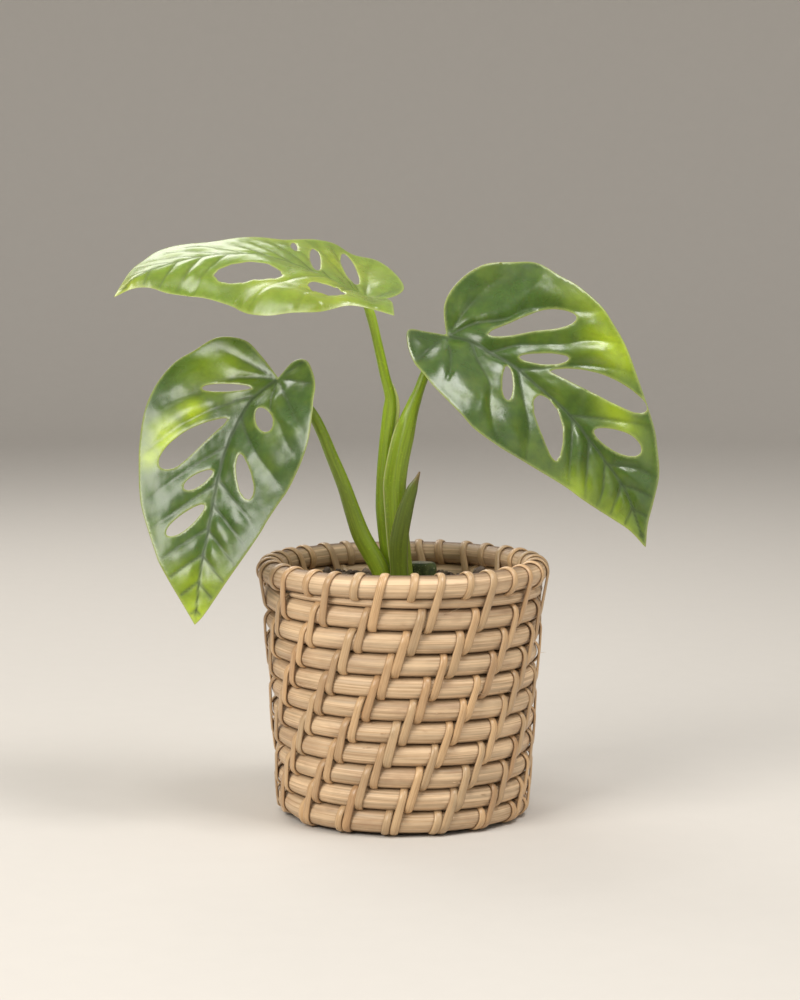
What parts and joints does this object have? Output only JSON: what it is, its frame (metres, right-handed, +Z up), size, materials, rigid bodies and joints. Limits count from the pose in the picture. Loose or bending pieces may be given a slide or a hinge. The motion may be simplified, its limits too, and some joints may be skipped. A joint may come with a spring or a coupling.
{
  "type": "potted swiss cheese vine in a coiled cane basket",
  "caption": "Young climbing houseplant with perforated heart-shaped leaves, rooted in soil in a round basket of lashed, coiled cane that stands on its flat base.",
  "frame": {"origin": "middle of the basket's underside, on its axis, where it meets the table", "axes": "+Z up along the basket's axis, -Y towards the side the plant is usually seen from, +X to that viewer's right"},
  "size_m": [0.2797, 0.1538, 0.2989],
  "materials": {
    "cane": "peeled cane, dry and slightly fibrous, satin",
    "lashing": "flat peeled cane strip, a little glossier and more orange than the cane",
    "soil": "crumbly potting mix, matte",
    "stump": "cut green stem, dull and mottled",
    "bract": "drying green leaf sheath, dull",
    "petiole": "smooth waxy green stalk, satin",
    "leaf_deep": "waxy mature leaf, satin gloss",
    "leaf_bright": "waxy young leaf, satin gloss"
  },
  "bodies": {
    "root": {"base_coil": "cane", "wall_coil": "cane", "rim_hoop": "cane", "lashing_01": "lashing", "lashing_02": "lashing", "lashing_03": "lashing", "lashing_04": "lashing", "lashing_05": "lashing", "lashing_06": "lashing", "lashing_07": "lashing", "lashing_08": "lashing", "lashing_09": "lashing", "lashing_10": "lashing", "lashing_11": "lashing", "lashing_12": "lashing", "lashing_13": "lashing", "lashing_14": "lashing", "lashing_15": "lashing", "lashing_16": "lashing", "rim_wrap_01": "lashing", "rim_wrap_02": "lashing", "rim_wrap_03": "lashing", "rim_wrap_04": "lashing", "rim_wrap_05": "lashing", "rim_wrap_06": "lashing", "rim_wrap_07": "lashing", "rim_wrap_08": "lashing", "rim_wrap_09": "lashing", "rim_wrap_10": "lashing", "rim_wrap_11": "lashing", "rim_wrap_12": "lashing", "rim_wrap_13": "lashing", "rim_wrap_14": "lashing", "rim_wrap_15": "lashing", "rim_wrap_16": "lashing", "soil": "soil", "stem_stump": "stump", "bract": "bract", "petiole_left": "petiole", "petiole_middle": "petiole", "petiole_right": "petiole", "leaf_left": "leaf_deep", "leaf_right": "leaf_deep", "leaf_top": "leaf_bright"}
  },
  "joints": []
}
